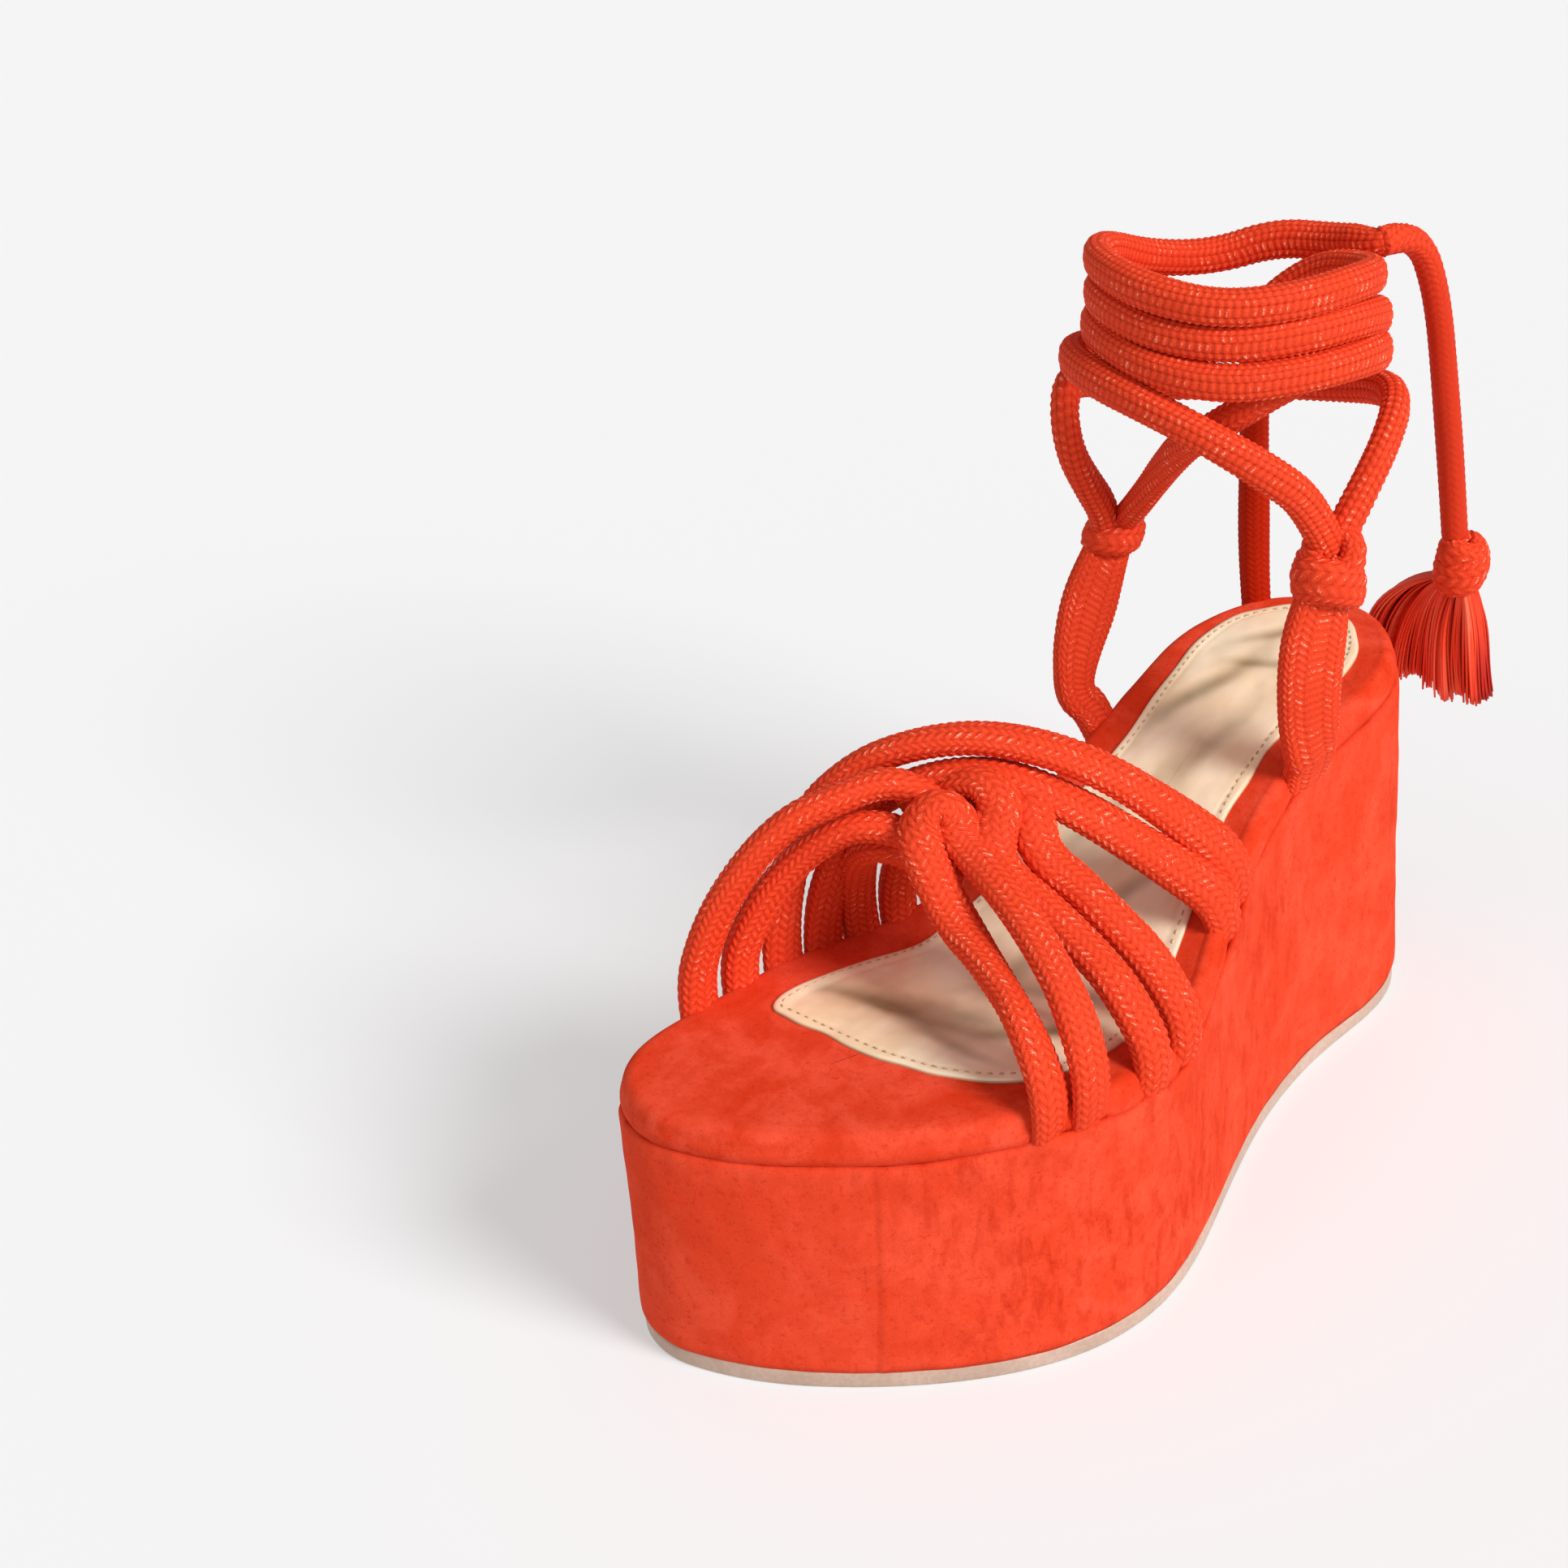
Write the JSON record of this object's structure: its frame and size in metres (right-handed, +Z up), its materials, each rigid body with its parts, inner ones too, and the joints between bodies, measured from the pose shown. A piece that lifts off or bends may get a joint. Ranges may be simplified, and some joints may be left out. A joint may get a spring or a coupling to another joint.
{
  "type": "wedge sandal",
  "caption": "Women's platform wedge sandal in red suede with a knotted cord vamp, gold sock lining and an ankle lace wrapped round and ending in a hanging tassel.",
  "frame": {"origin": "on the ground under the middle of the sole", "axes": "+Z up, -Y towards the toe, +X towards the outer side of a left foot"},
  "size_m": [0.1155, 0.2718, 0.2281],
  "materials": {
    "red_suede": "napped suede",
    "red_cord": "braided cord",
    "tassel_yarn": "loose yarn",
    "gold_leather": "metallic, satin, creased",
    "outsole_rubber": "satin",
    "wedge_foam": "foam",
    "cushion_foam": "foam",
    "insole_board": "pressed fibre",
    "stitch_thread": "thread"
  },
  "bodies": {
    "sandal": {"outsole": "outsole_rubber", "wedge_core": "wedge_foam", "wedge_cover": "red_suede", "insole_board": "insole_board", "footbed_foam": "cushion_foam", "footbed_cover": "red_suede", "sock_lining": "gold_leather", "sock_stitching": "stitch_thread", "vamp_knot": "red_cord", "vamp_cord_lateral_1": "red_cord", "vamp_cord_lateral_2": "red_cord", "vamp_cord_lateral_3": "red_cord", "vamp_cord_lateral_4": "red_cord", "vamp_cord_medial_1": "red_cord", "vamp_cord_medial_2": "red_cord", "vamp_cord_medial_3": "red_cord", "vamp_cord_medial_4": "red_cord", "rear_cross_cord_1": "red_cord", "rear_cross_cord_2": "red_cord", "lateral_strap": "red_cord", "medial_strap": "red_cord", "lateral_knot": "red_cord", "medial_knot": "red_cord", "wrap_lace": "red_cord", "rear_lace": "red_cord", "front_lace": "red_cord", "back_cord": "red_cord", "tail_arch": "red_cord"},
    "tail": {"tail_drop": "red_cord"},
    "tassel": {"tassel_knot": "red_cord", "tassel_skirt": "tassel_yarn"}
  },
  "joints": [
    {"name": "tail_swing", "type": "hinge", "parent": "sandal", "child": "tail", "pos_m": [0.0222, 0.1291, 0.1975], "axis": [0, 1, 0], "range_deg": [-25, 25]},
    {"name": "tassel_swing", "type": "hinge", "parent": "tail", "child": "tassel", "pos_m": [0.028, 0.136, 0.1188], "axis": [1, 0, 0], "range_deg": [-2, 35]}
  ]
}
